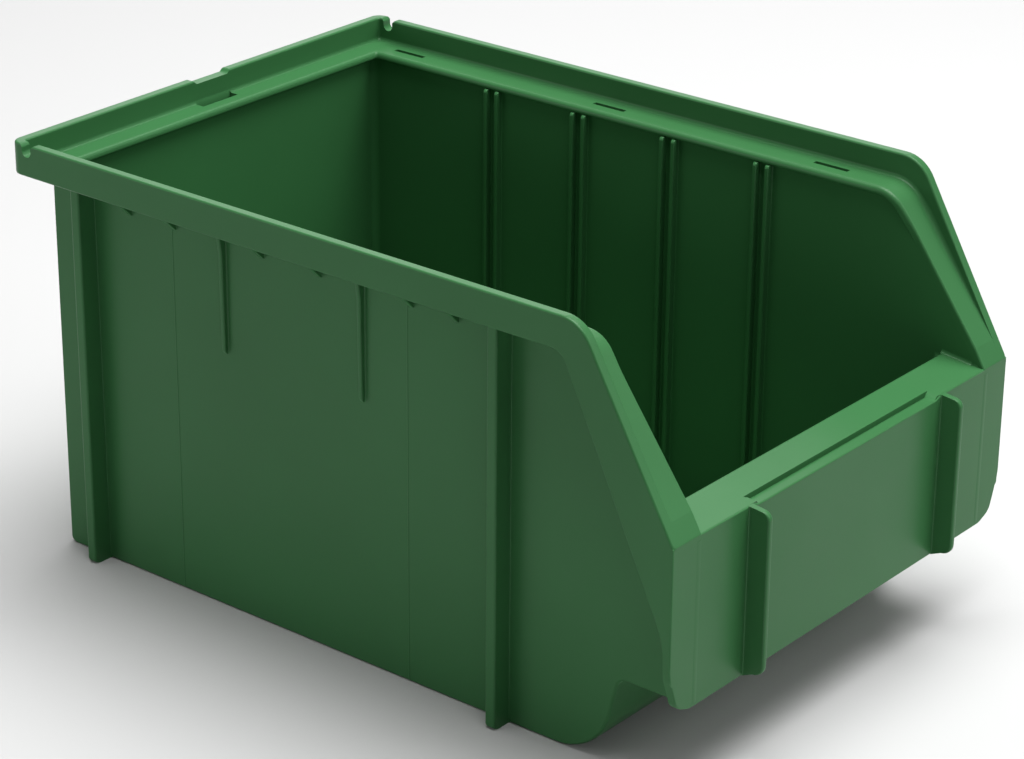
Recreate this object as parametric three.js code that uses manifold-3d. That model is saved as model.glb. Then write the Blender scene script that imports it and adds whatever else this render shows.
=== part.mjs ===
// Open-front stackable storage bin, 230 x 150 x 122 mm, moulded in one piece from green polypropylene.
// Millimetres, +Z up, origin at the bottom centre. The hopper front faces -Y, +X is the right-hand side.
// The moulding is divided into its walls, rims and ribs, which meet face to face.
import * as THREE from 'three';
import { mergeVertices } from 'three/addons/utils/BufferGeometryUtils.js';
import Module from 'manifold-3d';

const wasm = await Module();
wasm.setup();

// ---- driving dimensions ----
const LENGTH = 230;                  // back of the rim to the tips of the label ribs
const WIDTH = 150;                   // over the rim
const HEIGHT = 122;                  // floor underside to the top of the rim
const WALL = 2.2;                    // thickness of walls, floor and front panel
const SIDE_INSET = 9.3;              // rim's outer face to the side walls' outer face
const REAR_INSET = 6;                // rim's outer face to the back wall's outer face

const BAND_THICKNESS = 3;            // the upright band round the rim
const BAND_HEIGHT = 9.2;
const LEDGE_DROP = 6.9;              // top of the band down to the stacking ledge
const LEDGE_THICKNESS = 2;
const SIDE_LEDGE_REACH = 12.8;       // rim's outer face to the side ledge's inner edge
const REAR_LEDGE_REACH = 10.4;       // the same at the rear

const LABEL_RIB_REACH = 6;           // the label ribs stand this far in front of the panel
const LABEL_RIB_THICKNESS = 1.8;
const LABEL_RIB_X = 43.3;
const LABEL_RIB_TIP_RADIUS = 2.6;
const LABEL_RIB_BOTTOM = 25;
const LABEL_RIB_FOOT_RISE = 1.2;     // the rib's lower end slopes up this much before its tip

const LIP_FRONT_Z = 71.5;            // top of the front lip at the panel
const LIP_RISE = 1.5;                // the lip climbs this much towards the inside
const LIP_DEPTH = 13.6;
const LABEL_STEP_DROP = 0.8;         // between the label ribs the front of the lip is lower
const LABEL_STEP_DEPTH = 3.8;
const LABEL_GROOVE_WIDTH = 0.7;      // narrow groove behind the step, for the card's top edge
const LABEL_GROOVE_DROP = 1.1;

const SKIRT_BOTTOM = 25;             // the front panel and the cheeks behind it hang down to here
const SKIRT_CORNER_RADIUS = 5;

const SLOPE_TOP_Y = -80;             // the rim starts to fall towards the front here
const LEDGE_TOP_Y = -78;             // and its ledge here
const FLANGE_REAR_TOP_Y = -74.5;     // rear edge of the falling flange, at the band's lower edge
const FLANGE_KNEE = [-105.4, 48];
const FLANGE_FOOT_Z = 34;

const FRONT_LEAN = 13.7;             // degrees that the front wall leans forward
const FRONT_BEND_RADIUS = 17.5;      // outer radius of the bend from the floor into the front wall
const ARC_STEPS = 8;
const OVERCUT = 1;                   // a cutting tool passes its solid by this much

const STACKING_FIN_Y = [94.4, -50.5];
const STACKING_FIN_THICKNESS = 3.2;
const STACKING_FIN_X = 71.6;         // outer face, inside the band of the bin below
const STACKING_FIN_FOOT_RADIUS = 1.5;

const LONG_RIB_Y = [44.7, -3.5];
const LONG_RIB_THICKNESS = 1.8;
const LONG_RIB_TOP_REACH = 3.2;
const LONG_RIB_FOOT_REACH = 1;
const LONG_RIB_BOTTOM = 76;

const GUSSET_Y = [79, 62.6, 31, 11, -20, -34.6];
const GUSSET_THICKNESS = 1.6;
const GUSSET_BOTTOM = 106.6;
const GUSSET_GAP = 0.1;              // clear of the band's inner face

const DIVIDER_FIRST_Y = 59.8;        // four slots a side for cross dividers
const DIVIDER_PITCH = 31.9;
const DIVIDER_COUNT = 4;
const DIVIDER_SLOT = 2.7;
const DIVIDER_RIB_THICKNESS = 1.3;
const DIVIDER_RIB_REACH = 2.3;
const DIVIDER_RIB_TOP = 112.9;
const DIVIDER_RIB_CHAMFER = 0.8;     // top inner corner of each divider rib

const LEDGE_SLOT_Y = [96, 20.9, -55];
const LEDGE_SLOT_LENGTH = 11;
const LEDGE_SLOT_WIDTH = 1.6;
const LEDGE_SLOT_X = 67.6;
const REAR_OPENING_HALF_WIDTH = 7;
const REAR_OPENING_DEPTH = 3.2;
const REAR_NOTCH_HALF_WIDTH = 6.2;
const REAR_NOTCH_DEPTH = 1.1;
const CORNER_NOTCH_Y = 108.5;        // round-bottomed notch in each side band
const CORNER_NOTCH_WIDTH = 3.4;
const CORNER_NOTCH_DEPTH = 3.5;

// ---- places worked out from them ----
const RIM_X = WIDTH / 2;
const BAND_INNER_X = RIM_X - BAND_THICKNESS;
const LEDGE_INNER_X = RIM_X - SIDE_LEDGE_REACH;
const WALL_OUTER_X = RIM_X - SIDE_INSET;
const WALL_INNER_X = WALL_OUTER_X - WALL;

const REAR_Y = LENGTH / 2;
const BAND_INNER_Y = REAR_Y - BAND_THICKNESS;
const LEDGE_INNER_Y = REAR_Y - REAR_LEDGE_REACH;
const BACK_OUTER_Y = REAR_Y - REAR_INSET;
const BACK_INNER_Y = BACK_OUTER_Y - WALL;
const PANEL_Y = -LENGTH / 2 + LABEL_RIB_REACH;
const PANEL_INNER_Y = PANEL_Y + WALL;
const LIP_INNER_Y = PANEL_Y + LIP_DEPTH;

const BAND_BOTTOM = HEIGHT - BAND_HEIGHT;
const LEDGE_TOP = HEIGHT - LEDGE_DROP;
const LEDGE_BOTTOM = LEDGE_TOP - LEDGE_THICKNESS;
const LIP_BOTTOM = LIP_FRONT_Z - LEDGE_THICKNESS;

// The front wall's inner face meets the lip's inner edge, and its outer face follows frontY down to the bend.
const LEAN = THREE.MathUtils.degToRad(FRONT_LEAN);
const FRONT_THICKNESS_Y = WALL / Math.cos(LEAN);
const frontY = (z) => LIP_INNER_Y - FRONT_THICKNESS_Y + Math.tan(LEAN) * (LIP_BOTTOM - z);
const FRONT_BEND_Y = frontY(0) + FRONT_BEND_RADIUS * (1 - Math.sin(LEAN)) / Math.cos(LEAN);
const CHEEK_REAR_Y = frontY(SKIRT_BOTTOM);

// The underside of the falling ledge, as a height over any Y.
const LEDGE_FALL = (LEDGE_TOP - LIP_FRONT_Z) / (LEDGE_TOP_Y - PANEL_Y);
const LEDGE_FALL_THICKNESS = LEDGE_THICKNESS * Math.hypot(1, LEDGE_FALL);
const ledgeUnderside = (y) => LIP_FRONT_Z + LEDGE_FALL * (y - PANEL_Y) - LEDGE_FALL_THICKNESS;
const LEDGE_KNEE_Y = PANEL_Y + (LEDGE_BOTTOM - LIP_FRONT_Z + LEDGE_FALL_THICKNESS) / LEDGE_FALL;

// ---- materials ----
const greenPlastic = () => new THREE.MeshStandardMaterial({ color: 0x3f7d47, roughness: 0.42, metalness: 0 });

// ---- solids ----
const toShape = (points) => new THREE.Shape(points.map(([a, b]) => new THREE.Vector2(a, b)));

function extrude(points, depth, holes = []) {
  const shape = toShape(points);
  shape.holes = holes.map((hole) => new THREE.Path(hole.map(([a, b]) => new THREE.Vector2(a, b))));
  return new THREE.ExtrudeGeometry(shape, { depth, bevelEnabled: false });
}

// A (y, z) outline between two x values.
function prismX(points, xA, xB) {
  const low = Math.min(xA, xB);
  const turn = new THREE.Matrix4().makeBasis(
    new THREE.Vector3(0, 1, 0), new THREE.Vector3(0, 0, 1), new THREE.Vector3(1, 0, 0));
  return extrude(points, Math.abs(xB - xA)).applyMatrix4(turn).translate(low, 0, 0);
}

// An (x, z) outline between two y values.
function prismY(points, yA, yB) {
  const high = Math.max(yA, yB);
  const turn = new THREE.Matrix4().makeBasis(
    new THREE.Vector3(1, 0, 0), new THREE.Vector3(0, 0, 1), new THREE.Vector3(0, -1, 0));
  return extrude(points, Math.abs(yB - yA)).applyMatrix4(turn).translate(0, high, 0);
}

// An (x, y) outline between two heights.
function prismZ(points, zA, zB, holes = []) {
  return extrude(points, zB - zA, holes).translate(0, 0, zA);
}

function rectangle(aLow, aHigh, bLow, bHigh) {
  return [[aLow, bLow], [aHigh, bLow], [aHigh, bHigh], [aLow, bHigh]];
}

// Points on an arc, in degrees, both ends included.
function arc(centreA, centreB, radius, from, to, steps = ARC_STEPS) {
  const points = [];
  for (let i = 0; i <= steps; i += 1) {
    const angle = THREE.MathUtils.degToRad(from + (to - from) * i / steps);
    points.push([centreA + radius * Math.cos(angle), centreB + radius * Math.sin(angle)]);
  }
  return points;
}

// The bend from the floor up into the front wall, as points from the floor upwards.
function frontBend(radius) {
  return arc(FRONT_BEND_Y, FRONT_BEND_RADIUS, radius, 270, 180 + FRONT_LEAN);
}

function toManifold(geometry) {
  geometry.deleteAttribute('normal');
  geometry.deleteAttribute('uv');
  const merged = mergeVertices(geometry);
  return new wasm.Manifold(new wasm.Mesh({
    numProp: 3,
    vertProperties: new Float32Array(merged.attributes.position.array),
    triVerts: new Uint32Array(merged.index.array),
  }));
}

function cut(geometry, tools) {
  const solid = tools.reduce((left, tool) => left.subtract(toManifold(tool)), toManifold(geometry));
  const mesh = solid.getMesh();
  const result = new THREE.BufferGeometry();
  result.setAttribute('position', new THREE.BufferAttribute(mesh.vertProperties, 3));
  result.setIndex(new THREE.BufferAttribute(mesh.triVerts, 1));
  result.computeVertexNormals();
  return result;
}

// ---- the bin ----
const bin = new THREE.Group();
const SIDES = [['left', -1], ['right', 1]];

function add(name, geometry, y = 0) {
  const mesh = new THREE.Mesh(geometry, greenPlastic());
  mesh.name = name;
  mesh.position.y = y;
  bin.add(mesh);
}

function addFloor() {
  add('floor_panel', prismZ(rectangle(-WALL_INNER_X, WALL_INNER_X, FRONT_BEND_Y, BACK_INNER_Y), 0, WALL));
}

function addBackWall() {
  const outline = rectangle(-WALL_INNER_X, WALL_INNER_X, 0, LEDGE_BOTTOM);
  add('back_wall', prismY(outline, BACK_INNER_Y, BACK_OUTER_Y));
}

function addSideWall(side, sign) {
  const wall = [
    [BACK_OUTER_Y, 0], [BACK_OUTER_Y, LEDGE_BOTTOM], [LEDGE_KNEE_Y, LEDGE_BOTTOM],
    [CHEEK_REAR_Y, ledgeUnderside(CHEEK_REAR_Y)], [CHEEK_REAR_Y, SKIRT_BOTTOM],
    ...frontBend(FRONT_BEND_RADIUS).reverse(),
  ];
  add(`${side}_wall`, prismX(wall, sign * WALL_INNER_X, sign * WALL_OUTER_X));
  const cheek = [
    [CHEEK_REAR_Y, SKIRT_BOTTOM], [CHEEK_REAR_Y, ledgeUnderside(CHEEK_REAR_Y)],
    [PANEL_INNER_Y, ledgeUnderside(PANEL_INNER_Y)], [PANEL_INNER_Y, SKIRT_BOTTOM],
  ];
  add(`${side}_cheek`, prismX(cheek, sign * WALL_INNER_X, sign * WALL_OUTER_X));
}

// The front wall bends up from the floor and leans forward to the lip.
function addFrontWall() {
  const outline = [
    ...frontBend(FRONT_BEND_RADIUS), [frontY(LIP_BOTTOM), LIP_BOTTOM],
    [LIP_INNER_Y, LIP_BOTTOM], ...frontBend(FRONT_BEND_RADIUS - WALL).reverse(),
  ];
  add('front_wall', prismX(outline, -WALL_INNER_X, WALL_INNER_X));
}

// The lip closes the top of the front wall. Its front edge is stepped down between the label ribs.
function addFrontLip() {
  const profile = [
    [PANEL_Y, LIP_BOTTOM], [PANEL_Y, LIP_FRONT_Z],
    [LIP_INNER_Y, LIP_FRONT_Z + LIP_RISE], [LIP_INNER_Y, LIP_BOTTOM],
  ];
  const labelHalf = LABEL_RIB_X - LABEL_RIB_THICKNESS / 2;
  const above = LIP_FRONT_Z + LIP_RISE + OVERCUT;
  const stepBack = PANEL_Y + LABEL_STEP_DEPTH;
  const label = (front, back, bottom) => prismX(rectangle(front, back, bottom, above), -labelHalf, labelHalf);
  add('front_lip', cut(prismX(profile, -WALL_INNER_X, WALL_INNER_X), [
    label(PANEL_Y - OVERCUT, stepBack, LIP_FRONT_Z - LABEL_STEP_DROP),
    label(stepBack - LABEL_GROOVE_WIDTH, stepBack, LIP_FRONT_Z - LABEL_GROOVE_DROP),
  ]));
}

// A round lower corner of an outline that is mirrored about zero, from the side down to the bottom.
function lowerCorner(sign, side, bottom, radius) {
  return arc(sign * (side - radius), bottom + radius, radius, sign < 0 ? 180 : 0, sign < 0 ? 270 : -90);
}

function addFrontPanel() {
  const half = (sign) => [
    [sign * BAND_INNER_X, LIP_BOTTOM],
    ...lowerCorner(sign, BAND_INNER_X, SKIRT_BOTTOM, SKIRT_CORNER_RADIUS),
  ];
  add('front_panel', prismY([...half(-1), ...half(1).reverse()], PANEL_Y, PANEL_INNER_Y));
}

function addLabelRib(side, sign) {
  const tipY = PANEL_Y - LABEL_RIB_REACH;
  const radius = LABEL_RIB_TIP_RADIUS;
  const outline = [
    [PANEL_Y, LIP_FRONT_Z], [PANEL_Y, LABEL_RIB_BOTTOM],
    ...arc(tipY + radius, LABEL_RIB_BOTTOM + LABEL_RIB_FOOT_RISE + radius, radius, 270, 180),
    ...arc(tipY + radius, LIP_FRONT_Z - radius, radius, 180, 90),
  ];
  const x = sign * LABEL_RIB_X;
  add(`${side}_label_rib`, prismX(outline, x - LABEL_RIB_THICKNESS / 2, x + LABEL_RIB_THICKNESS / 2));
}

function addRearRim() {
  const band = [
    [-BAND_INNER_X, BAND_BOTTOM], [BAND_INNER_X, BAND_BOTTOM], [BAND_INNER_X, HEIGHT],
    [REAR_NOTCH_HALF_WIDTH, HEIGHT], [REAR_NOTCH_HALF_WIDTH, HEIGHT - REAR_NOTCH_DEPTH],
    [-REAR_NOTCH_HALF_WIDTH, HEIGHT - REAR_NOTCH_DEPTH], [-REAR_NOTCH_HALF_WIDTH, HEIGHT],
    [-BAND_INNER_X, HEIGHT],
  ];
  add('rear_band', prismY(band, BAND_INNER_Y, REAR_Y));
  const openingY = BAND_INNER_Y - REAR_OPENING_DEPTH;
  const ledge = [
    [-BAND_INNER_X, LEDGE_INNER_Y], [BAND_INNER_X, LEDGE_INNER_Y], [BAND_INNER_X, BAND_INNER_Y],
    [REAR_OPENING_HALF_WIDTH, BAND_INNER_Y], [REAR_OPENING_HALF_WIDTH, openingY],
    [-REAR_OPENING_HALF_WIDTH, openingY], [-REAR_OPENING_HALF_WIDTH, BAND_INNER_Y],
    [-BAND_INNER_X, BAND_INNER_Y],
  ];
  add('rear_ledge', prismZ(ledge, LEDGE_BOTTOM, LEDGE_TOP));
}

function addSideRim(side, sign) {
  const notchRadius = CORNER_NOTCH_WIDTH / 2;
  const notchCentre = HEIGHT - CORNER_NOTCH_DEPTH + notchRadius;
  const band = [
    [REAR_Y, BAND_BOTTOM], [REAR_Y, HEIGHT], [CORNER_NOTCH_Y + notchRadius, HEIGHT],
    ...arc(CORNER_NOTCH_Y, notchCentre, notchRadius, 0, -180),
    [CORNER_NOTCH_Y - notchRadius, HEIGHT], [SLOPE_TOP_Y, HEIGHT], [FLANGE_REAR_TOP_Y, BAND_BOTTOM],
  ];
  add(`${side}_band`, prismX(band, sign * BAND_INNER_X, sign * RIM_X));
  const slotX = sign * LEDGE_SLOT_X;
  const slots = LEDGE_SLOT_Y.map((y) => rectangle(
    slotX - LEDGE_SLOT_WIDTH / 2, slotX + LEDGE_SLOT_WIDTH / 2,
    y - LEDGE_SLOT_LENGTH / 2, y + LEDGE_SLOT_LENGTH / 2));
  const [xLow, xHigh] = [sign * LEDGE_INNER_X, sign * BAND_INNER_X].sort((a, b) => a - b);
  const ledge = rectangle(xLow, xHigh, LEDGE_KNEE_Y, LEDGE_INNER_Y);
  add(`${side}_ledge`, prismZ(ledge, LEDGE_BOTTOM, LEDGE_TOP, slots));
}

// Towards the front the rim falls to the lip: a flange outside, and beside it the ledge, flush with the wall.
function addFallingRim(side, sign) {
  const flange = [
    [SLOPE_TOP_Y, HEIGHT], [PANEL_Y, LIP_FRONT_Z], [PANEL_Y, FLANGE_FOOT_Z],
    FLANGE_KNEE, [FLANGE_REAR_TOP_Y, BAND_BOTTOM],
  ];
  add(`${side}_slope_flange`, prismX(flange, sign * BAND_INNER_X, sign * RIM_X));
  const ledge = [
    [LEDGE_KNEE_Y, LEDGE_TOP], [LEDGE_TOP_Y, LEDGE_TOP], [PANEL_Y, LIP_FRONT_Z], [PANEL_Y, LIP_BOTTOM],
    [PANEL_INNER_Y, LIP_BOTTOM], [PANEL_INNER_Y, ledgeUnderside(PANEL_INNER_Y)], [LEDGE_KNEE_Y, LEDGE_BOTTOM],
  ];
  add(`${side}_slope_ledge`, prismX(ledge, sign * WALL_INNER_X, sign * BAND_INNER_X));
}

function addStackingFins(side, sign) {
  const outline = [
    [sign * WALL_OUTER_X, LEDGE_BOTTOM], [sign * STACKING_FIN_X, LEDGE_BOTTOM],
    ...lowerCorner(sign, STACKING_FIN_X, 0, STACKING_FIN_FOOT_RADIUS), [sign * WALL_OUTER_X, 0],
  ];
  STACKING_FIN_Y.forEach((y, i) => {
    const half = STACKING_FIN_THICKNESS / 2;
    add(`${side}_stacking_fin_${i + 1}`, prismY(outline, -half, half), y);
  });
}

// Stiffeners under the rim: two long tapering ribs and six short gussets on each side.
function addStiffeners(side, sign) {
  const wall = sign * WALL_OUTER_X;
  const rib = [
    [wall, LEDGE_BOTTOM], [wall + sign * LONG_RIB_TOP_REACH, LEDGE_BOTTOM],
    [wall + sign * LONG_RIB_FOOT_REACH, LONG_RIB_BOTTOM], [wall, LONG_RIB_BOTTOM],
  ];
  LONG_RIB_Y.forEach((y, i) => {
    add(`${side}_long_rib_${i + 1}`, prismY(rib, -LONG_RIB_THICKNESS / 2, LONG_RIB_THICKNESS / 2), y);
  });
  const gussetOuter = sign * (BAND_INNER_X - GUSSET_GAP);
  const gusset = [
    [wall, LEDGE_BOTTOM], [gussetOuter, LEDGE_BOTTOM], [gussetOuter, BAND_BOTTOM], [wall, GUSSET_BOTTOM],
  ];
  GUSSET_Y.forEach((y, i) => {
    add(`${side}_gusset_${i + 1}`, prismY(gusset, -GUSSET_THICKNESS / 2, GUSSET_THICKNESS / 2), y);
  });
}

// Each divider slot is a pair of upright ribs on the inside of the side wall.
function addDividerRibs(side, sign) {
  const wall = sign * WALL_INNER_X;
  const edge = wall - sign * DIVIDER_RIB_REACH;
  const outline = [
    [wall, WALL], [edge, WALL], [edge, DIVIDER_RIB_TOP - DIVIDER_RIB_CHAMFER],
    [edge + sign * DIVIDER_RIB_CHAMFER, DIVIDER_RIB_TOP], [wall, DIVIDER_RIB_TOP],
  ];
  const offset = (DIVIDER_SLOT + DIVIDER_RIB_THICKNESS) / 2;
  for (let i = 0; i < DIVIDER_COUNT; i += 1) {
    const centre = DIVIDER_FIRST_Y - i * DIVIDER_PITCH;
    [['rear', offset], ['front', -offset]].forEach(([place, shift]) => {
      const rib = prismY(outline, -DIVIDER_RIB_THICKNESS / 2, DIVIDER_RIB_THICKNESS / 2);
      add(`${side}_divider_${i + 1}_${place}_rib`, rib, centre + shift);
    });
  }
}

addFloor();
addBackWall();
addFrontWall();
addFrontLip();
addFrontPanel();
addRearRim();
for (const [side, sign] of SIDES) {
  addSideWall(side, sign);
  addLabelRib(side, sign);
  addSideRim(side, sign);
  addFallingRim(side, sign);
  addStackingFins(side, sign);
  addStiffeners(side, sign);
  addDividerRibs(side, sign);
}

export default bin;
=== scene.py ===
"""Looks of a stackable storage bin moulded in green polypropylene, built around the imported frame.

Lengths are millimetres in the outlines and become metres when a mesh is made. The frame is the CAD's: +Z is
up, the hopper front faces -Y and +X is the right-hand side.
"""
import math

import bmesh
import bpy
from mathutils import Matrix, Vector


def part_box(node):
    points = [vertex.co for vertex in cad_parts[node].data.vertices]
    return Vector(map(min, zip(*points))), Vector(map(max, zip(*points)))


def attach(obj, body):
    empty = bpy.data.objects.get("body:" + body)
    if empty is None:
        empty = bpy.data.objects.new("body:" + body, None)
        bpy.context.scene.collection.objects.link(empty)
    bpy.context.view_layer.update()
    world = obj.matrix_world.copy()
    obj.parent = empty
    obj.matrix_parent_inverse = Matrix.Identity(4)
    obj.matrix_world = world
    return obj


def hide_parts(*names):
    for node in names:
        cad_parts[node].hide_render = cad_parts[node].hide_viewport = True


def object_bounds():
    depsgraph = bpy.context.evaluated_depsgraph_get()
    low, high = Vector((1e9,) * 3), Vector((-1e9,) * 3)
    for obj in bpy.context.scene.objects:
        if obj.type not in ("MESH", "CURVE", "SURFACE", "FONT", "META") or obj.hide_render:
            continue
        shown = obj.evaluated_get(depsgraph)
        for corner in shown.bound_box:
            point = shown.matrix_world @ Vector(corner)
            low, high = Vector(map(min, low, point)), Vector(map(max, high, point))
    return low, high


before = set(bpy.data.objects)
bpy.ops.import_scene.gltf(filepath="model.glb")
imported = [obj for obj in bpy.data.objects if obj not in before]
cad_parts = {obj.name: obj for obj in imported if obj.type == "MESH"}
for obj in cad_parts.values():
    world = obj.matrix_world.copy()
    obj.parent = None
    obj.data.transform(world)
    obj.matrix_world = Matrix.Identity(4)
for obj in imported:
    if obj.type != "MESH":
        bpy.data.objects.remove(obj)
cad_low, cad_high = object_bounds()

MM = 0.001                              # one millimetre in metres
SIDES = (("left", -1), ("right", 1))    # each side's name and its sign on X


def node_box(name):
    """A CAD node's box in millimetres, as ((x, y, z), (x, y, z))."""
    low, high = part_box(name)
    return tuple(value / MM for value in low), tuple(value / MM for value in high)


# ---- sizes read from the frame ----
(_, PANEL_Y, SKIRT_BOTTOM), (_, PANEL_INNER_Y, LIP_BOTTOM) = node_box("front_panel")
(WALL_INNER_X, _, _), (WALL_OUTER_X, BACK_OUTER_Y, _) = node_box("right_wall")
(BAND_INNER_X, SLOPE_TOP_Y, BAND_BOTTOM), (RIM_X, REAR_Y, HEIGHT) = node_box("right_band")
(LEDGE_INNER_X, LEDGE_KNEE_Y, LEDGE_BOTTOM), (_, LEDGE_INNER_Y, LEDGE_TOP) = node_box("right_ledge")
(_, _, FLANGE_FOOT_Z), (_, FLANGE_REAR_TOP_Y, _) = node_box("right_slope_flange")
_, (_, LIP_INNER_Y, LIP_TOP) = node_box("front_lip")
(_, BACK_INNER_Y, _), _ = node_box("back_wall")
(_, BAND_INNER_Y, _), _ = node_box("rear_band")
_, (_, FRONT_BEND_Y, _) = node_box("front_wall")
(_, LABEL_TIP_Y, LABEL_BOTTOM), (_, _, LABEL_TOP) = node_box("right_label_rib")
_, (_, _, FLOOR_TOP) = node_box("floor_panel")
WALL = WALL_OUTER_X - WALL_INNER_X

# ---- sizes of the same parts that their boxes do not show ----
FRONT_LEAN = math.radians(13.7)
FRONT_BEND_RADIUS = 17.5
LIP_FRONT_Z = 71.5
LEDGE_TOP_Y = -78
FLANGE_KNEE = (-105.4, 48)
LABEL_STEP_HALF = 42.4          # between the label ribs the front of the lip is lower
LABEL_STEP_DROP = 0.8
LABEL_STEP_DEPTH = 3.8
LABEL_GROOVE_WIDTH = 0.7
LABEL_GROOVE_DROP = 1.1
LABEL_STEP_RAMP = 2.5           # each end of the step rises over this length
PANEL_SIDE_BEND = (37, 12)      # height and radius where the panel's side turns in
PANEL_CORNER = (71.6, 27, 4.5)  # x, height and radius
PANEL_FOOT = (66.5, 6)          # x and radius where the panel's lower edge starts
CORNER_NOTCH_Y = 108.5
CORNER_NOTCH_HALF = 1.7
CORNER_NOTCH_DEPTH = 3.5
CORNER_NOTCH_FLARE = 1.6        # the notch opens by this much to each side, over its topmost part
CORNER_NOTCH_FLARE_DEPTH = 0.8
CORNER_NOTCH_MOUTH_RADIUS = 1
REAR_NOTCH_HALF = 6.2
REAR_NOTCH_DEPTH = 1.1
REAR_NOTCH_SLOPE = 2.4
REAR_OPENING_HALF = 7
REAR_OPENING_NEAR = 0.1         # the opening in the rear ledge, measured from the band
REAR_OPENING_FAR = 3.2
SLOT_X = 67.6
SLOT_PLACES = (96, 20.9, -55)
SLOT_HALF_WIDTH = 0.8
SLOT_HALF_LENGTH = 5.5

# ---- roundings and small details, which the CAD leaves out ----
RIM_BEND_RADIUS = 10            # where the rim turns down towards the front, seen from the side
RIM_CORNER_RADIUS = 3.5         # the rim's rear corners, seen from above
RIM_EDGE_RADIUS = 0.6
FLANGE_KNEE_RADIUS = 20
FLANGE_TOP_RADIUS = 5
LEDGE_UNDER_BEND_RADIUS = 8
STEEPEST_FALL = 2               # the rim's fall over 1 mm, past which its section isn't flattened any more
STEP_SHARE = 0.45               # the most that a radius may take of the step from the band to the ledge
LEDGE_EDGE_RADIUS = 1.4
LEDGE_FILLET = 1.2
LEDGE_END_Y = -106              # in front of this the falling ledge is level with the flange
LEDGE_NARROWS_Y = (-86, -76)    # between these the ledge's inner edge draws back to the wall's inner face
FRONT_EDGE_RADIUS = 0.8
ARCH_RADIUS = 3                 # where the cheek's lower edge meets the front wall
BODY_EDGE_RADIUS = 0.8
BODY_REAR_RADIUS = 2
BODY_FILLET = 2.2
LIP_EDGE_RADIUS = 1
LIP_END_FILLET = 1
FIN_ROOT = 0.2                  # a root is the radius over which a rib flares into its wall
FIN_FOOT_RADIUS = 1.5
LONG_RIB_ROOT = 0.4
GUSSET_ROOT = 0.3
DIVIDER_ROOT = 0.4
DIVIDER_TOP_RADIUS = 1
LONG_RIB_HALF = 0.7
RIB_START = 0.2                 # the reach of a rib where it comes out of its wall
LABEL_RIB_ROOT = 0.3
LABEL_RIB_FOOT = (1.2, 2.8)     # a slope, then a radius
LABEL_RIB_TOP = (0.3, 2.4)
LINE_START = 1                  # the mould lines start this far above the lower edge
PANEL_LINE_WIDTH = 1.7
PANEL_LINE_HEIGHT = 0.06
PANEL_LINE_TOP = 70
WALL_LINE_PLACES = (63.6, -18.4)
WALL_LINE_WIDTH = 0.5
WALL_LINE_HEIGHT = 0.12
ARC_STEP = 7                    # degrees between the points of an arc
SECTION_STEPS = 4               # points round each small edge of the rim
OVERCUT = 1                     # a cutting tool passes its solid by this much
CLEAR = 20                      # and where it cuts away everything beyond, by this much
SEAT = 1                        # the walls run this far up into the ledge and the lip
JOIN = 0.5                      # and the cheeks and the ribs run this far into the piece that they meet
ROOT_DEPTH = 0.3                # a rib or a mould line starts this far inside its wall
SKIN = 0.02                     # one piece stands this far behind another where their faces would coincide

# ---- looks ----
SHARP_ANGLE = math.radians(50)  # edges that turn by more than this are shaded as edges
DEEP_GREEN = (0.033, 0.130, 0.043, 1)
LIGHT_GREEN = (0.037, 0.146, 0.049, 1)
SMOOTHEST, ROUGHEST = 0.28, 0.38
FLOOR_GREY = (0.52, 0.52, 0.52, 1)
FLOOR_HALF = 6000
FLOOR_THICKNESS = 20
WORLD_LIGHT = 0.18


# ---- outlines ----
def rounded(corners, steps=None):
    """A closed outline from (a, b) or (a, b, radius) corners, with each radius as an arc."""
    outline = []
    for i, corner in enumerate(corners):
        here = Vector(corner[:2])
        if len(corner) == 2:
            outline.append(tuple(here))
            continue
        before = (Vector(corners[i - 1][:2]) - here).normalized()
        after = (Vector(corners[(i + 1) % len(corners)][:2]) - here).normalized()
        half = before.angle(after) / 2
        centre = here + (before + after).normalized() * (corner[2] / math.sin(half))
        start = here + before * (corner[2] / math.tan(half)) - centre
        turn = math.pi - 2 * half
        sign = -1 if before.cross(after) > 0 else 1
        count = steps or max(2, round(math.degrees(turn) / ARC_STEP))
        for step in range(count + 1):
            outline.append(tuple(centre + Matrix.Rotation(sign * turn * step / count, 2) @ start))
    return outline


def rectangle(a_low, a_high, b_low, b_high):
    """A rectangle's outline, between two places on each of its axes."""
    return [(a_low, b_low), (a_high, b_low), (a_high, b_high), (a_low, b_high)]


def quarter(steps):
    """Angles from 0 to 90 degrees, in radians."""
    return [math.pi / 2 * step / steps for step in range(steps + 1)]


def height_on(curve, y):
    """The height of a side-view curve, given as (y, z) points, over a place on Y."""
    for (y_low, z_low), (y_high, z_high) in zip(curve, curve[1:]):
        if y <= y_high:
            return z_low + (z_high - z_low) * (y - y_low) / (y_high - y_low)
    return curve[-1][1]


def front_face_y(z):
    """Where the leaning front wall's outer face is at a height."""
    return LIP_INNER_Y - WALL / math.cos(FRONT_LEAN) + math.tan(FRONT_LEAN) * (LIP_BOTTOM - z)


def front_bend(radius):
    """The bend from the floor up into the front wall, as (y, z) points from the floor upwards."""
    points = []
    steps = round((90 - math.degrees(FRONT_LEAN)) / ARC_STEP) + 1
    for step in range(steps + 1):
        turn = (math.pi / 2 - FRONT_LEAN) * step / steps
        points.append((FRONT_BEND_Y - radius * math.sin(turn), FRONT_BEND_RADIUS - radius * math.cos(turn)))
    return points


def ledge_underside(y):
    """Height of the falling ledge's underside over a place on Y."""
    fall = (LEDGE_TOP - LIP_FRONT_Z) / (LEDGE_TOP_Y - PANEL_Y)
    thickness = (LEDGE_TOP - LEDGE_BOTTOM) * math.hypot(1, fall)
    return LIP_FRONT_Z + fall * (y - PANEL_Y) - thickness


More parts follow.
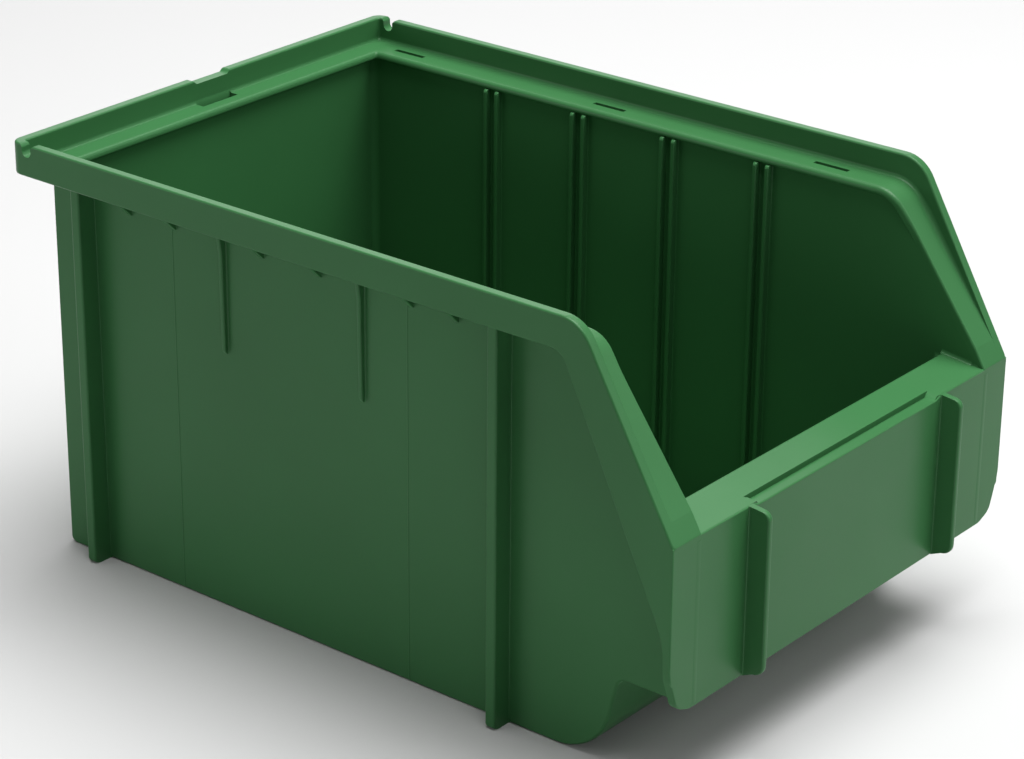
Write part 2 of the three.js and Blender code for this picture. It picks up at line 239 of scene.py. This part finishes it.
# ---- solids ----
def to_object(shape):
    """A new object from a bmesh, which is used up."""
    mesh = bpy.data.meshes.new("solid")
    shape.to_mesh(mesh)
    shape.free()
    piece = bpy.data.objects.new("solid", mesh)
    bpy.context.scene.collection.objects.link(piece)
    return piece


def loft(rings):
    """A solid through rings of points in millimetres, closed by the first and the last ring."""
    shape = bmesh.new()
    made = [[shape.verts.new(Vector(point) * MM) for point in ring] for ring in rings]
    count = len(made[0])
    for lower, upper in zip(made, made[1:]):
        for i in range(count):
            j = (i + 1) % count
            shape.faces.new((lower[i], lower[j], upper[j], upper[i]))
    shape.faces.new(made[0])
    shape.faces.new(made[-1])
    bmesh.ops.recalc_face_normals(shape, faces=shape.faces)
    return to_object(shape)


def prism(axis, outline, low, high):
    """A solid from an outline in the other two axes, between two places on an axis."""
    place = {
        "X": lambda a, b, t: (t, a, b),
        "Y": lambda a, b, t: (a, t, b),
        "Z": lambda a, b, t: (a, b, t),
    }[axis]
    return loft([[place(a, b, t) for a, b in outline] for t in (low, high)])


def cut(base, tools):
    """Takes the tools out of a solid and drops them."""
    for tool in tools:
        step = base.modifiers.new("cut", "BOOLEAN")
        step.operation = "DIFFERENCE"
        step.solver = "EXACT"
        step.object = tool
    bpy.context.view_layer.update()
    graph = bpy.context.evaluated_depsgraph_get()
    mesh = bpy.data.meshes.new_from_object(base.evaluated_get(graph))
    base.modifiers.clear()
    base.data = mesh
    for tool in tools:
        bpy.data.objects.remove(tool)
    return base


def gather(pieces):
    """Puts several solids into the first one's mesh."""
    shape = bmesh.new()
    for piece in pieces:
        shape.from_mesh(piece.data)
    shape.to_mesh(pieces[0].data)
    shape.free()
    for piece in pieces[1:]:
        bpy.data.objects.remove(piece)
    return pieces[0]


def round_edges(piece, radius, axis, places, segments=3):
    """Rounds the edges that lie in the planes at these places on an axis, 0 for X, 1 for Y or 2 for Z."""
    close = 0.01
    shape = bmesh.new()
    shape.from_mesh(piece.data)
    edges = []
    for edge in shape.edges:
        ends = [vertex.co[axis] / MM for vertex in edge.verts]
        if any(all(abs(end - place) < close for end in ends) for place in places):
            edges.append(edge)
    bmesh.ops.bevel(
        shape, geom=edges, offset=radius * MM, offset_type="OFFSET", segments=segments,
        profile=0.5, affect="EDGES", clamp_overlap=False)
    shape.to_mesh(piece.data)
    shape.free()
    return piece


def finish_piece(piece, name, nodes):
    """Names a piece, gives it its looks, hides the CAD nodes that it stands for and hangs it from the root
    body.
    """
    piece.name = name
    piece.data.name = name
    piece.data.materials.clear()
    piece.data.materials.append(PLASTIC)
    piece.data.shade_smooth()
    piece.data.set_sharp_from_angle(angle=SHARP_ANGLE)
    weighted = piece.modifiers.new("flat_faces", "WEIGHTED_NORMAL")
    weighted.keep_sharp = True
    weighted.weight = 100
    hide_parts(*nodes)
    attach(piece, "root")


# ---- material ----
def node(tree, kind, **inputs):
    """Adds a shader node; inputs are set by name, from a value or another node's output."""
    made = tree.nodes.new(kind)
    for key, value in inputs.items():
        socket = made.inputs[key.replace("_", " ")]
        if isinstance(value, bpy.types.NodeSocket):
            tree.links.new(value, socket)
        else:
            socket.default_value = value
    return made


def moulded_polypropylene():
    """Satin green polypropylene: slow colour drift, faint gloss variation and a fine moulding grain."""
    material = bpy.data.materials.new("moulded_polypropylene")
    material.use_nodes = True
    tree = material.node_tree
    shader = tree.nodes["Principled BSDF"]
    shader.inputs["IOR"].default_value = 1.49
    shader.inputs["Specular IOR Level"].default_value = 0.17
    place = node(tree, "ShaderNodeTexCoord").outputs["Object"]

    drift = node(tree, "ShaderNodeTexNoise", Vector=place, Scale=14.0, Detail=3.0, Roughness=0.5)
    colours = tree.nodes.new("ShaderNodeValToRGB")
    for stop, position, colour in zip(colours.color_ramp.elements, (0.3, 0.7), (DEEP_GREEN, LIGHT_GREEN)):
        stop.position = position
        stop.color = colour
    tree.links.new(drift.outputs["Fac"], colours.inputs["Fac"])
    tree.links.new(colours.outputs["Color"], shader.inputs["Base Color"])

    haze = node(tree, "ShaderNodeTexNoise", Vector=place, Scale=45.0, Detail=5.0, Roughness=0.6)
    gloss = node(tree, "ShaderNodeMapRange", Value=haze.outputs["Fac"])
    gloss.inputs["From Min"].default_value = 0.3
    gloss.inputs["From Max"].default_value = 0.7
    gloss.inputs["To Min"].default_value = SMOOTHEST
    gloss.inputs["To Max"].default_value = ROUGHEST
    tree.links.new(gloss.outputs["Result"], shader.inputs["Roughness"])

    grain = node(tree, "ShaderNodeTexNoise", Vector=place, Scale=1400.0, Detail=2.0, Roughness=0.5)
    ripple = node(tree, "ShaderNodeTexNoise", Vector=place, Scale=30.0, Detail=1.0, Roughness=0.4)
    fine = node(tree, "ShaderNodeBump", Strength=0.08, Distance=0.00008, Height=grain.outputs["Fac"])
    broad = node(tree, "ShaderNodeBump", Strength=0.12, Distance=0.0006, Height=ripple.outputs["Fac"])
    tree.links.new(fine.outputs["Normal"], broad.inputs["Normal"])
    tree.links.new(broad.outputs["Normal"], shader.inputs["Normal"])
    return material


PLASTIC = moulded_polypropylene()


# ---- camera, lights and floor ----
CAMERA_AZIMUTH = -51.0
CAMERA_ELEVATION = 23.8
CAMERA_ROLL = 0.49
CAMERA_DISTANCE = 0.8744
CAMERA_LENS = 112.8
CAMERA_SENSOR = 36
CAMERA_AIM = Vector((-0.0010, 0.0002, 0.0594))


def direction_from(azimuth, elevation):
    """The unit vector towards an azimuth, which is 0 at -Y and 90 at +X, and an elevation."""
    around, up = math.radians(azimuth), math.radians(elevation)
    return Vector((math.sin(around) * math.cos(up), -math.cos(around) * math.cos(up), math.sin(up)))


def make_camera():
    """The camera, aimed near the middle of the bin and rolled a little about its own axis."""
    data = bpy.data.cameras.new("camera")
    data.sensor_width = CAMERA_SENSOR
    data.lens = CAMERA_LENS
    camera = bpy.data.objects.new("camera", data)
    bpy.context.scene.collection.objects.link(camera)
    back = direction_from(CAMERA_AZIMUTH, CAMERA_ELEVATION)
    camera.location = CAMERA_AIM + back * CAMERA_DISTANCE
    turn = (-back).to_track_quat("-Z", "Y").to_matrix()
    roll = Matrix.Rotation(math.radians(CAMERA_ROLL), 3, "Z")
    camera.rotation_euler = (turn @ roll).to_euler()
    bpy.context.scene.camera = camera


def area_light(name, azimuth, elevation, distance, width, height, power):
    """A rectangular soft light that looks at the middle of the bin."""
    data = bpy.data.lights.new(name, "AREA")
    data.shape = "RECTANGLE"
    data.size = width
    data.size_y = height
    data.energy = power
    light = bpy.data.objects.new(name, data)
    bpy.context.scene.collection.objects.link(light)
    back = direction_from(azimuth, elevation)
    light.location = (cad_low + cad_high) / 2 + back * distance
    light.rotation_euler = (-back).to_track_quat("-Z", "Y").to_euler()


def make_studio():
    """A large soft light overhead, three weaker ones around the bin, and a little light from everywhere."""
    area_light("overhead", azimuth=60, elevation=79, distance=1.3, width=1.1, height=1.1, power=35)
    area_light("front", azimuth=25, elevation=30, distance=1.5, width=1.0, height=0.8, power=5.5)
    area_light("rear_right", azimuth=128, elevation=27, distance=1.5, width=1.0, height=0.7, power=4)
    area_light("rear_left", azimuth=-135, elevation=10, distance=1.5, width=1.0, height=0.45, power=4)
    world = bpy.data.worlds.new("studio")
    world.use_nodes = True
    background = world.node_tree.nodes["Background"]
    background.inputs["Color"].default_value = (1, 1, 1, 1)
    background.inputs["Strength"].default_value = WORLD_LIGHT
    bpy.context.scene.world = world
    bpy.context.scene.view_settings.view_transform = "Standard"


def make_floor():
    """A wide pale slab under the bin. It belongs to the stage, not to the object."""
    material = bpy.data.materials.new("pale_floor")
    material.use_nodes = True
    shader = material.node_tree.nodes["Principled BSDF"]
    shader.inputs["Base Color"].default_value = FLOOR_GREY
    shader.inputs["Roughness"].default_value = 0.9
    outline = rectangle(-FLOOR_HALF, FLOOR_HALF, -FLOOR_HALF, FLOOR_HALF)
    floor = prism("Z", outline, -FLOOR_THICKNESS, cad_low.z / MM)
    floor.name = "floor"
    floor.data.materials.append(material)


# ---- the stacking rim ----
RIM_FRONT_Y = PANEL_Y + SKIN
RIM_TOP_CURVE = rounded([
    (RIM_FRONT_Y, FLANGE_FOOT_Z), (RIM_FRONT_Y, LIP_FRONT_Z, RIM_EDGE_RADIUS),
    (SLOPE_TOP_Y, HEIGHT, RIM_BEND_RADIUS), (REAR_Y, HEIGHT),
])[1:]
LEDGE_TOP_CURVE = rounded([
    (LEDGE_END_Y, height_on(RIM_TOP_CURVE, LEDGE_END_Y) - SKIN),
    (LEDGE_TOP_Y, LEDGE_TOP, RIM_BEND_RADIUS), (REAR_Y, LEDGE_TOP),
])
LEDGE_UNDER_CURVE = rounded([
    (RIM_FRONT_Y, ledge_underside(RIM_FRONT_Y)),
    (LEDGE_KNEE_Y, LEDGE_BOTTOM, LEDGE_UNDER_BEND_RADIUS), (REAR_Y, LEDGE_BOTTOM),
])
RIM_BOTTOM_CURVE = rounded([
    (RIM_FRONT_Y, FLANGE_FOOT_Z), (*FLANGE_KNEE, FLANGE_KNEE_RADIUS),
    (FLANGE_REAR_TOP_Y, BAND_BOTTOM, FLANGE_TOP_RADIUS), (REAR_Y, BAND_BOTTOM),
])


def ledge_edge(y):
    """Where the ledge's inner edge is on X, and its radius. It is flush with the wall where the rim falls."""
    low, high = LEDGE_NARROWS_Y
    level = min(max((y - low) / (high - low), 0), 1)
    eased = level * level * (3 - 2 * level)
    place = (WALL_INNER_X - SKIN) * (1 - eased) + LEDGE_INNER_X * eased
    return place, RIM_EDGE_RADIUS * (1 - eased) + LEDGE_EDGE_RADIUS * eased


def rim_section(y):
    """The rim's cross-section over a place on Y, as (x, z) points on the right-hand side.

    Where the rim falls steeply the section is drawn flattened, so that its radii are true across the rim. At
    the very front its outer face draws in over a radius.
    """
    top = height_on(RIM_TOP_CURVE, y)
    ledge_top = top - SKIN if y < LEDGE_END_Y else height_on(LEDGE_TOP_CURVE, y)
    ledge_bottom = height_on(LEDGE_UNDER_CURVE, y)
    bottom = height_on(RIM_BOTTOM_CURVE, y)
    fall = height_on(RIM_TOP_CURVE, y + 0.5) - height_on(RIM_TOP_CURVE, max(y - 0.5, RIM_FRONT_Y))
    steep = math.hypot(1, min(fall, STEEPEST_FALL))
    inside = STEP_SHARE * (top - ledge_top) / steep
    inner_x, edge_radius = ledge_edge(y)
    front = min(max(y - RIM_FRONT_Y, 0), FRONT_EDGE_RADIUS)
    outer = RIM_X - FRONT_EDGE_RADIUS + math.sqrt(FRONT_EDGE_RADIUS ** 2 - (FRONT_EDGE_RADIUS - front) ** 2)
    corners = [
        (outer, bottom, RIM_EDGE_RADIUS),
        (outer, top, RIM_EDGE_RADIUS),
        (BAND_INNER_X, top, min(RIM_EDGE_RADIUS, inside)),
        (BAND_INNER_X, ledge_top, min(LEDGE_FILLET, inside)),
        (inner_x, ledge_top, edge_radius),
        (inner_x, ledge_bottom, RIM_EDGE_RADIUS / 2),
        (BAND_INNER_X, ledge_bottom),
        (BAND_INNER_X, bottom),
    ]
    flat = [(corner[0], corner[1] / steep, *corner[2:]) for corner in corners]
    return [(x, z * steep) for x, z in rounded(flat, SECTION_STEPS)]


def rim_stations():
    """The places on Y where the side of the rim needs a cross-section."""
    last, closest = LEDGE_INNER_Y - 2, 0.05
    places = [RIM_FRONT_Y + FRONT_EDGE_RADIUS * (1 - math.cos(turn)) for turn in quarter(4)]
    for curve in (RIM_TOP_CURVE, LEDGE_TOP_CURVE, LEDGE_UNDER_CURVE, RIM_BOTTOM_CURVE):
        places += [y for y, _ in curve if y < last]
    places += range(LEDGE_NARROWS_Y[0], LEDGE_NARROWS_Y[1] + 1)
    stations = []
    for y in sorted(places + [last]):
        if not stations or y - stations[-1] > closest:
            stations.append(y)
    return stations


def corner_ring(turn):
    """The rim's cross-section part of the way round the right rear corner, fitted to the rear ledge."""
    rear_reach = (BAND_INNER_Y - LEDGE_INNER_Y) / (BAND_INNER_X - LEDGE_INNER_X)
    ring = []
    for x, z in rim_section(REAR_Y):
        radius = max(RIM_CORNER_RADIUS - (RIM_X - x), FRONT_EDGE_RADIUS)
        y = REAR_Y - RIM_X + x if x > BAND_INNER_X else BAND_INNER_Y - (BAND_INNER_X - x) * rear_reach
        ring.append((x - radius + radius * math.cos(turn), y - radius + radius * math.sin(turn), z))
    return ring


def corner_notch(sign):
    """The tool for the notch near a rear corner, with a round bottom and a flared mouth."""
    mouth = (HEIGHT - CORNER_NOTCH_FLARE_DEPTH, CORNER_NOTCH_MOUTH_RADIUS)
    bottom = (HEIGHT - CORNER_NOTCH_DEPTH, CORNER_NOTCH_HALF - 0.05)
    rear, front = CORNER_NOTCH_Y + CORNER_NOTCH_HALF, CORNER_NOTCH_Y - CORNER_NOTCH_HALF
    outline = rounded([
        (rear + CORNER_NOTCH_FLARE, HEIGHT + OVERCUT), (rear, *mouth), (rear, *bottom),
        (front, *bottom), (front, *mouth), (front - CORNER_NOTCH_FLARE, HEIGHT + OVERCUT),
    ])
    return prism("X", outline, sign * (BAND_INNER_X - OVERCUT), sign * (RIM_X + OVERCUT))


def through_ledge(outline):
    """The tool for an opening that goes down through the ledge."""
    return prism("Z", outline, LEDGE_BOTTOM - OVERCUT, LEDGE_TOP + OVERCUT)


def rim_notches():
    """The tools for the notches at the rear corners and in the middle of the rear, and for the slots."""
    notch_z = HEIGHT - REAR_NOTCH_DEPTH
    wide = REAR_NOTCH_HALF + REAR_NOTCH_SLOPE
    rear_notch = [
        (-REAR_NOTCH_HALF, notch_z), (REAR_NOTCH_HALF, notch_z),
        (wide, HEIGHT + OVERCUT), (-wide, HEIGHT + OVERCUT),
    ]
    rear_opening = rectangle(
        -REAR_OPENING_HALF, REAR_OPENING_HALF,
        BAND_INNER_Y - REAR_OPENING_FAR, BAND_INNER_Y - REAR_OPENING_NEAR)
    tools = [prism("Y", rear_notch, BAND_INNER_Y - OVERCUT, REAR_Y + OVERCUT), through_ledge(rear_opening)]
    for _, sign in SIDES:
        tools.append(corner_notch(sign))
        x = sign * SLOT_X
        for y in SLOT_PLACES:
            tools.append(through_ledge(rectangle(
                x - SLOT_HALF_WIDTH, x + SLOT_HALF_WIDTH, y - SLOT_HALF_LENGTH, y + SLOT_HALF_LENGTH)))
    return tools


def make_rim():
    """The band, its ledge and the falling flanges: one cross-section carried round the three sides."""
    half = [[(x, y, z) for x, z in rim_section(y)] for y in rim_stations()]
    half += [corner_ring(turn) for turn in quarter(6)]
    mirrored = [[(-x, y, z) for x, y, z in ring] for ring in reversed(half)]
    rim = cut(loft(half + mirrored), rim_notches())
    nodes = ["rear_band", "rear_ledge"]
    for side, _ in SIDES:
        nodes += [f"{side}_{name}" for name in ("band", "ledge", "slope_flange", "slope_ledge")]
    finish_piece(rim, "stacking_rim", nodes)


# ---- the front ----
def make_front_panel():
    """The front panel, its top edge lower between the label ribs, with a faint band before each side wall."""
    side = RIM_X + SKIN
    foot_x, foot_radius = PANEL_FOOT
    half = [
        (LABEL_STEP_HALF - LABEL_STEP_RAMP, LIP_FRONT_Z - LABEL_STEP_DROP), (LABEL_STEP_HALF, LIP_FRONT_Z),
        (side, LIP_FRONT_Z), (side, *PANEL_SIDE_BEND), PANEL_CORNER, (foot_x, SKIRT_BOTTOM, foot_radius),
    ]
    mirrored = [(-corner[0], *corner[1:]) for corner in reversed(half)]
    panel = prism("Y", rounded(half + mirrored), PANEL_Y, PANEL_INNER_Y)
    round_edges(panel, FRONT_EDGE_RADIUS / 2, 1, [PANEL_Y])
    wall_x = (WALL_INNER_X + WALL_OUTER_X) / 2
    section = mould_line(PANEL_LINE_WIDTH, PANEL_LINE_HEIGHT)
    lines = []
    for _, sign in SIDES:
        outline = [(sign * wall_x + along, PANEL_Y - out) for along, out in section]
        lines.append(prism("Z", outline, SKIRT_BOTTOM + LINE_START, PANEL_LINE_TOP))
    finish_piece(gather([panel, *lines]), "front_panel_shaped", ["front_panel"])


def mould_line(width, height):
    """The section of a hardly raised line on a face, as (along the face, outwards) points."""
    foot, top = width / 2, width / 5
    return [(-foot, -ROOT_DEPTH), (foot, -ROOT_DEPTH), (foot, 0), (top, height), (-top, height), (-foot, 0)]


def label_seat():
    """The tool for the step and the groove in the lip between the label ribs. It rises at both ends."""
    back = PANEL_Y + LABEL_STEP_DEPTH
    groove_y = back - LABEL_GROOVE_WIDTH
    step_z = LIP_FRONT_Z - LABEL_STEP_DROP + SKIN
    groove_z = LIP_FRONT_Z - LABEL_GROOVE_DROP
    section = [
        (PANEL_Y - OVERCUT, step_z), (groove_y, step_z), (groove_y, groove_z), (back, groove_z),
        (back, LIP_TOP + OVERCUT), (PANEL_Y - OVERCUT, LIP_TOP + OVERCUT),
    ]
    level = LABEL_STEP_HALF - LABEL_STEP_RAMP
    end, end_rise = level + 2 * LABEL_STEP_RAMP, 2 * (LABEL_GROOVE_DROP + LIP_TOP - LIP_FRONT_Z)
    places = ((-end, end_rise), (-level, 0), (level, 0), (end, end_rise))
    return loft([[(x, y, z + rise) for y, z in section] for x, rise in places])


def make_front_lip():
    """The lip on the front wall, with the label seat, and with a fillet at each end."""
    front, end_x = PANEL_Y + FRONT_EDGE_RADIUS / 2, WALL_INNER_X + WALL / 4
    lip = prism("X", rounded([
        (front, LIP_BOTTOM), (front, LIP_FRONT_Z + 2 * SKIN),
        (LIP_INNER_Y, LIP_TOP, LIP_EDGE_RADIUS), (LIP_INNER_Y, LIP_BOTTOM),
    ]), -end_x, end_x)
    cut(lip, [label_seat()])
    fillets = [lip_end_fillet(sign) for _, sign in SIDES]
    finish_piece(gather([lip, *fillets]), "front_lip_shaped", ["front_lip"])


def lip_end_fillet(sign):
    """The hollow fillet between the lip's top and the side wall, sunk a little into both."""
    sunk_in_wall, sunk_in_lip = 0.2, 0.4
    front_rise, back_gap = 0.4, 0.2
    wall_x = WALL_INNER_X + sunk_in_wall
    rings = []
    for y, top in ((PANEL_Y + LABEL_STEP_DEPTH, LIP_FRONT_Z + front_rise), (LIP_INNER_Y - back_gap, LIP_TOP)):
        ring = [(wall_x, top - sunk_in_lip), (wall_x, top + LIP_END_FILLET)]
        for turn in reversed(quarter(5)):
            ring.append((
                WALL_INNER_X - LIP_END_FILLET * (1 - math.sin(turn)),
                top + LIP_END_FILLET * (1 - math.cos(turn))))
        ring.append((WALL_INNER_X - LIP_END_FILLET, top - sunk_in_lip))
        rings.append([(sign * x, y, z) for x, z in ring])
    return loft(rings)


# ---- the body ----
def body_block():
    """The body's outside as one solid block."""
    front, above = PANEL_INNER_Y - JOIN, LEDGE_BOTTOM + SEAT
    block = prism("X", rounded([
        (BACK_OUTER_Y, 0, BODY_REAR_RADIUS), *front_bend(FRONT_BEND_RADIUS),
        (front_face_y(SKIRT_BOTTOM), SKIRT_BOTTOM, ARCH_RADIUS), (front, SKIRT_BOTTOM),
        (front, ledge_underside(front) + SEAT), (LEDGE_KNEE_Y, above), (BACK_OUTER_Y, above),
    ]), -WALL_OUTER_X, WALL_OUTER_X)
    return round_edges(block, BODY_EDGE_RADIUS, 0, [-WALL_OUTER_X, WALL_OUTER_X])


def body_hollow():
    """The inside of the bin, open to the top and, over the lip, to the front."""
    past_front, past_top, lip_seat = PANEL_Y - CLEAR, HEIGHT + CLEAR, LIP_BOTTOM + SEAT
    hollow = prism("X", rounded([
        (BACK_INNER_Y, FLOOR_TOP, BODY_FILLET), *front_bend(FRONT_BEND_RADIUS - WALL),
        (LIP_INNER_Y, LIP_BOTTOM), (LIP_INNER_Y, lip_seat), (past_front, lip_seat),
        (past_front, past_top), (BACK_INNER_Y, past_top),
    ]), -WALL_INNER_X, WALL_INNER_X)
    return round_edges(hollow, BODY_FILLET, 0, [-WALL_INNER_X, WALL_INNER_X], 4)


def pocket_under_lip():
    """The room in front of the leaning front wall, between the cheeks."""
    past_front, lip_seat = PANEL_Y - CLEAR, LIP_BOTTOM + SEAT
    low = SKIRT_BOTTOM - 2 * ARCH_RADIUS
    return prism("X", [
        (front_face_y(low) - SKIN, low), (front_face_y(lip_seat) - SKIN, lip_seat + SKIN),
        (past_front, lip_seat + SKIN), (past_front, low),
    ], -WALL_INNER_X, WALL_INNER_X)


def make_body():
    """Floor, walls and cheeks in one shell, with two faint mould lines on each side."""
    body = cut(body_block(), [body_hollow(), pocket_under_lip()])
    section = mould_line(WALL_LINE_WIDTH, WALL_LINE_HEIGHT)
    lines = []
    for _, sign in SIDES:
        for y in WALL_LINE_PLACES:
            outline = [(sign * (WALL_OUTER_X + out), y + along) for along, out in section]
            lines.append(prism("Z", outline, LINE_START, LEDGE_BOTTOM))
    nodes = ["floor_panel", "back_wall", "front_wall"]
    for side, _ in SIDES:
        nodes += [f"{side}_{name}" for name in ("wall", "cheek")]
    finish_piece(gather([body, *lines]), "bin_body", nodes)


# ---- the ribs ----
def rib(name, place, levels, root):
    """A rib on a wall, lofted through levels of (height, reach, half thickness).

    place(sideways, outwards, height) gives the point in millimetres. Each level is one cross-section: it
    flares into the wall over the root radius, and its free edge is rounded.
    """
    rings = []
    for height, reach, half in levels:
        flare = min(root, reach * 0.8)
        tip = min(RIM_EDGE_RADIUS, half * 0.7, reach * 0.3)
        right = [(half + flare, -ROOT_DEPTH)]
        for turn in quarter(5):
            right.append((half + flare * (1 - math.sin(turn)), flare * (1 - math.cos(turn))))
        for turn in quarter(4):
            right.append((half - tip * (1 - math.cos(turn)), reach - tip * (1 - math.sin(turn))))
        section = right + [(-side, out) for side, out in reversed(right)]
        rings.append([place(side, out, height) for side, out in section])
    finish_piece(loft(rings), f"{name}_shaped", [name])


def foot_levels(bottom, reach, half, radius):
    """Levels from the foot up whose reach follows a quarter circle."""
    return [
        (bottom + radius * (1 - math.cos(turn)), reach - radius * (1 - math.sin(turn)), half)
        for turn in quarter(6)]


def hung_from(top, levels):
    """The same levels upside down, measured down from the top."""
    return [(top - height, reach, half) for height, reach, half in reversed(levels)]


def outside_wall(sign, y):
    """Places a rib's points on the outer face of a side wall, about a place on Y."""
    return lambda side, out, height: (sign * (WALL_OUTER_X + out), y + side, height)


def inside_wall(sign, y):
    """Places a rib's points on the inner face of a side wall, about a place on Y."""
    return lambda side, out, height: (sign * (WALL_INNER_X - out), y + side, height)


def rib_sizes(name):
    """The middle on Y, half the thickness, and the lower and upper ends of a rib on a side wall."""
    low, high = node_box(name)
    return (low[1] + high[1]) / 2, (high[1] - low[1]) / 2, low[2], high[2]


def make_stacking_fins(side, sign):
    """The full-height fins, with a rounded foot."""
    for i in (1, 2):
        name = f"{side}_stacking_fin_{i}"
        y, half, _, top = rib_sizes(name)
        low, high = node_box(name)
        reach = max(abs(low[0]), abs(high[0])) - WALL_OUTER_X
        levels = foot_levels(0, reach, half, FIN_FOOT_RADIUS) + [(top + JOIN, reach, half)]
        rib(name, outside_wall(sign, y), levels, FIN_ROOT)


def make_long_ribs(side, sign):
    """The long stiffeners, pointed at the foot and reaching further out towards the rim."""
    for i in (1, 2):
        name = f"{side}_long_rib_{i}"
        y, _, bottom, top = rib_sizes(name)
        levels = [
            (bottom, RIB_START, 0.25), (bottom + 0.5, 0.8, 0.5), (bottom + 1.5, 1.3, 0.65),
            (top - 8, 1.7, LONG_RIB_HALF), (top + JOIN, 3, LONG_RIB_HALF),
        ]
        rib(name, outside_wall(sign, y), levels, LONG_RIB_ROOT)


def make_gussets(side, sign):
    """The small stiffeners under the rim. They run a little way into the band."""
    sideways, upwards = 0.3, 0.2
    for i in range(1, 7):
        name = f"{side}_gusset_{i}"
        y, half, bottom, _ = rib_sizes(name)
        reach = BAND_INNER_X - WALL_OUTER_X + sideways
        levels = [
            (bottom, RIB_START, half * 0.6), (bottom + 0.4, 0.7, half), (BAND_BOTTOM + upwards, reach, half),
        ]
        rib(name, outside_wall(sign, y), levels, GUSSET_ROOT)


def make_divider_ribs(side, sign):
    """The pairs of ribs inside, with a rounded top and a slightly thicker foot that is sunk in the floor."""
    thicker, sunk = 0.1, 0.2
    for i in range(1, 5):
        for end in ("rear", "front"):
            name = f"{side}_divider_{i}_{end}_rib"
            y, half, _, top = rib_sizes(name)
            low, high = node_box(name)
            reach = high[0] - low[0]
            upper = hung_from(top, foot_levels(0, reach, half, DIVIDER_TOP_RADIUS))
            foot = (FLOOR_TOP - sunk, reach, half + thicker)
            rib(name, inside_wall(sign, y), [foot, *upper], DIVIDER_ROOT)


def make_label_rib(side):
    """A rib on the front panel that runs out at both ends over a short slope and a radius."""
    name = f"{side}_label_rib"
    low, high = node_box(name)
    x, half = (low[0] + high[0]) / 2, (high[0] - low[0]) / 2
    reach = PANEL_Y - LABEL_TIP_Y
    foot_slope, foot_radius = LABEL_RIB_FOOT
    top_slope, top_radius = LABEL_RIB_TOP
    lower = [(LABEL_BOTTOM, RIB_START, half)]
    lower += foot_levels(LABEL_BOTTOM + foot_slope, reach, half, foot_radius)
    upper = [(0, RIB_START, half), *foot_levels(top_slope, reach, half, top_radius)]
    levels = lower + hung_from(LABEL_TOP, upper)
    rib(name, lambda sideways, out, height: (x + sideways, PANEL_Y - out, height), levels, LABEL_RIB_ROOT)


make_camera()
make_studio()
make_floor()
make_rim()
make_front_panel()
make_front_lip()
make_body()
for side_name, side_sign in SIDES:
    make_stacking_fins(side_name, side_sign)
    make_long_ribs(side_name, side_sign)
    make_gussets(side_name, side_sign)
    make_divider_ribs(side_name, side_sign)
    make_label_rib(side_name)
